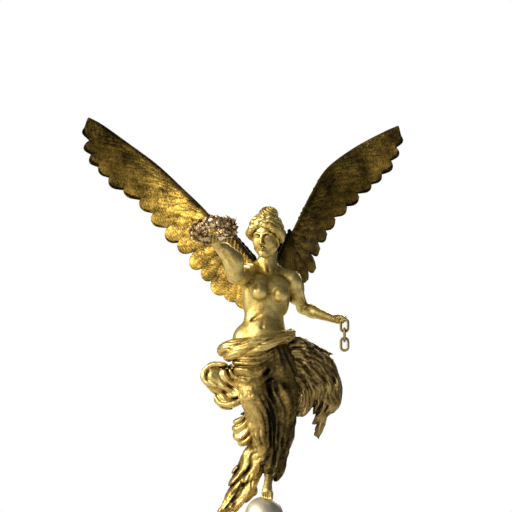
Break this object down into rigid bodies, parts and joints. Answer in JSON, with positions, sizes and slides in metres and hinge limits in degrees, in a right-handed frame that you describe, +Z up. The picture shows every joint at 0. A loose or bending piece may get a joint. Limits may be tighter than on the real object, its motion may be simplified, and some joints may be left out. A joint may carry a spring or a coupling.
{
  "type": "hood ornament",
  "caption": "Gilt winged victory figure holding up a laurel wreath, with flying drapery and a short broken chain, on a globe and a screw-on fluted radiator cap.",
  "frame": {"origin": "centre of the radiator cap's bottom rim, on the axis of its thread", "axes": "+Z up along the thread axis, -Y the way the figure faces, +X towards her left hand"},
  "size_m": [0.1488, 0.1107, 0.208],
  "materials": {
    "gilt_bronze": "gold leaf on bronze, satin, worn bright on high places and dark in the hollows",
    "gilt_cloth": "gold leaf on bronze drapery, satin, with brown patina in the folds",
    "gilt_wing": "gilt bronze feathers, darker, with olive-brown patina between the barbs",
    "gilt_wreath": "gilt bronze laurel, matt, with brown patina between leaves",
    "dark_gilt": "dulled gilt chain",
    "nickel_plate": "polished nickel plate",
    "satin_nickel": "pale satin nickel",
    "bare_brass": "turned brass",
    "zinc_steel": "zinc-plated steel",
    "gasket_rubber": "black rubber",
    "red_fibre": "vulcanised fibre"
  },
  "bodies": {
    "cap": {"cap_shell": "nickel_plate", "thread_ring": "bare_brass", "gasket": "gasket_rubber", "fibre_washer": "red_fibre"},
    "figure": {"mount_stud": "zinc_steel", "spring_washer": "zinc_steel", "lock_nut": "bare_brass", "globe_collar": "bare_brass", "globe": "satin_nickel", "foot_pin": "zinc_steel", "standing_leg": "gilt_bronze", "trailing_foot": "gilt_bronze", "skirt": "gilt_cloth", "trailing_drapery": "gilt_cloth", "right_upper_flutter": "gilt_cloth", "right_lower_flutter": "gilt_cloth", "left_billow": "gilt_cloth", "hip_sash": "gilt_cloth", "torso": "gilt_bronze", "head": "gilt_bronze", "right_arm": "gilt_bronze", "wreath": "gilt_wreath", "left_arm": "gilt_bronze", "right_wing": "gilt_wing", "left_wing": "gilt_wing", "right_wing_screw": "bare_brass", "left_wing_screw": "bare_brass", "chain_top_link": "dark_gilt"},
    "middle_link": {"chain_middle_link": "dark_gilt"},
    "end_link": {"chain_end_link": "dark_gilt"}
  },
  "joints": [
    {"name": "figure_swivel", "type": "hinge", "parent": "cap", "child": "figure", "pos_m": [0, 0, 0.017], "axis": [0, 0, 1], "continuous": true},
    {"name": "middle_link_swing", "type": "hinge", "parent": "figure", "child": "middle_link", "pos_m": [0.0362, 0.0008, 0.109], "axis": [1, 0, 0], "range_deg": [-40, 40]},
    {"name": "end_link_swing", "type": "hinge", "parent": "middle_link", "child": "end_link", "pos_m": [0.0362, 0.0008, 0.10475], "axis": [0, 1, 0], "range_deg": [-40, 40]}
  ]
}
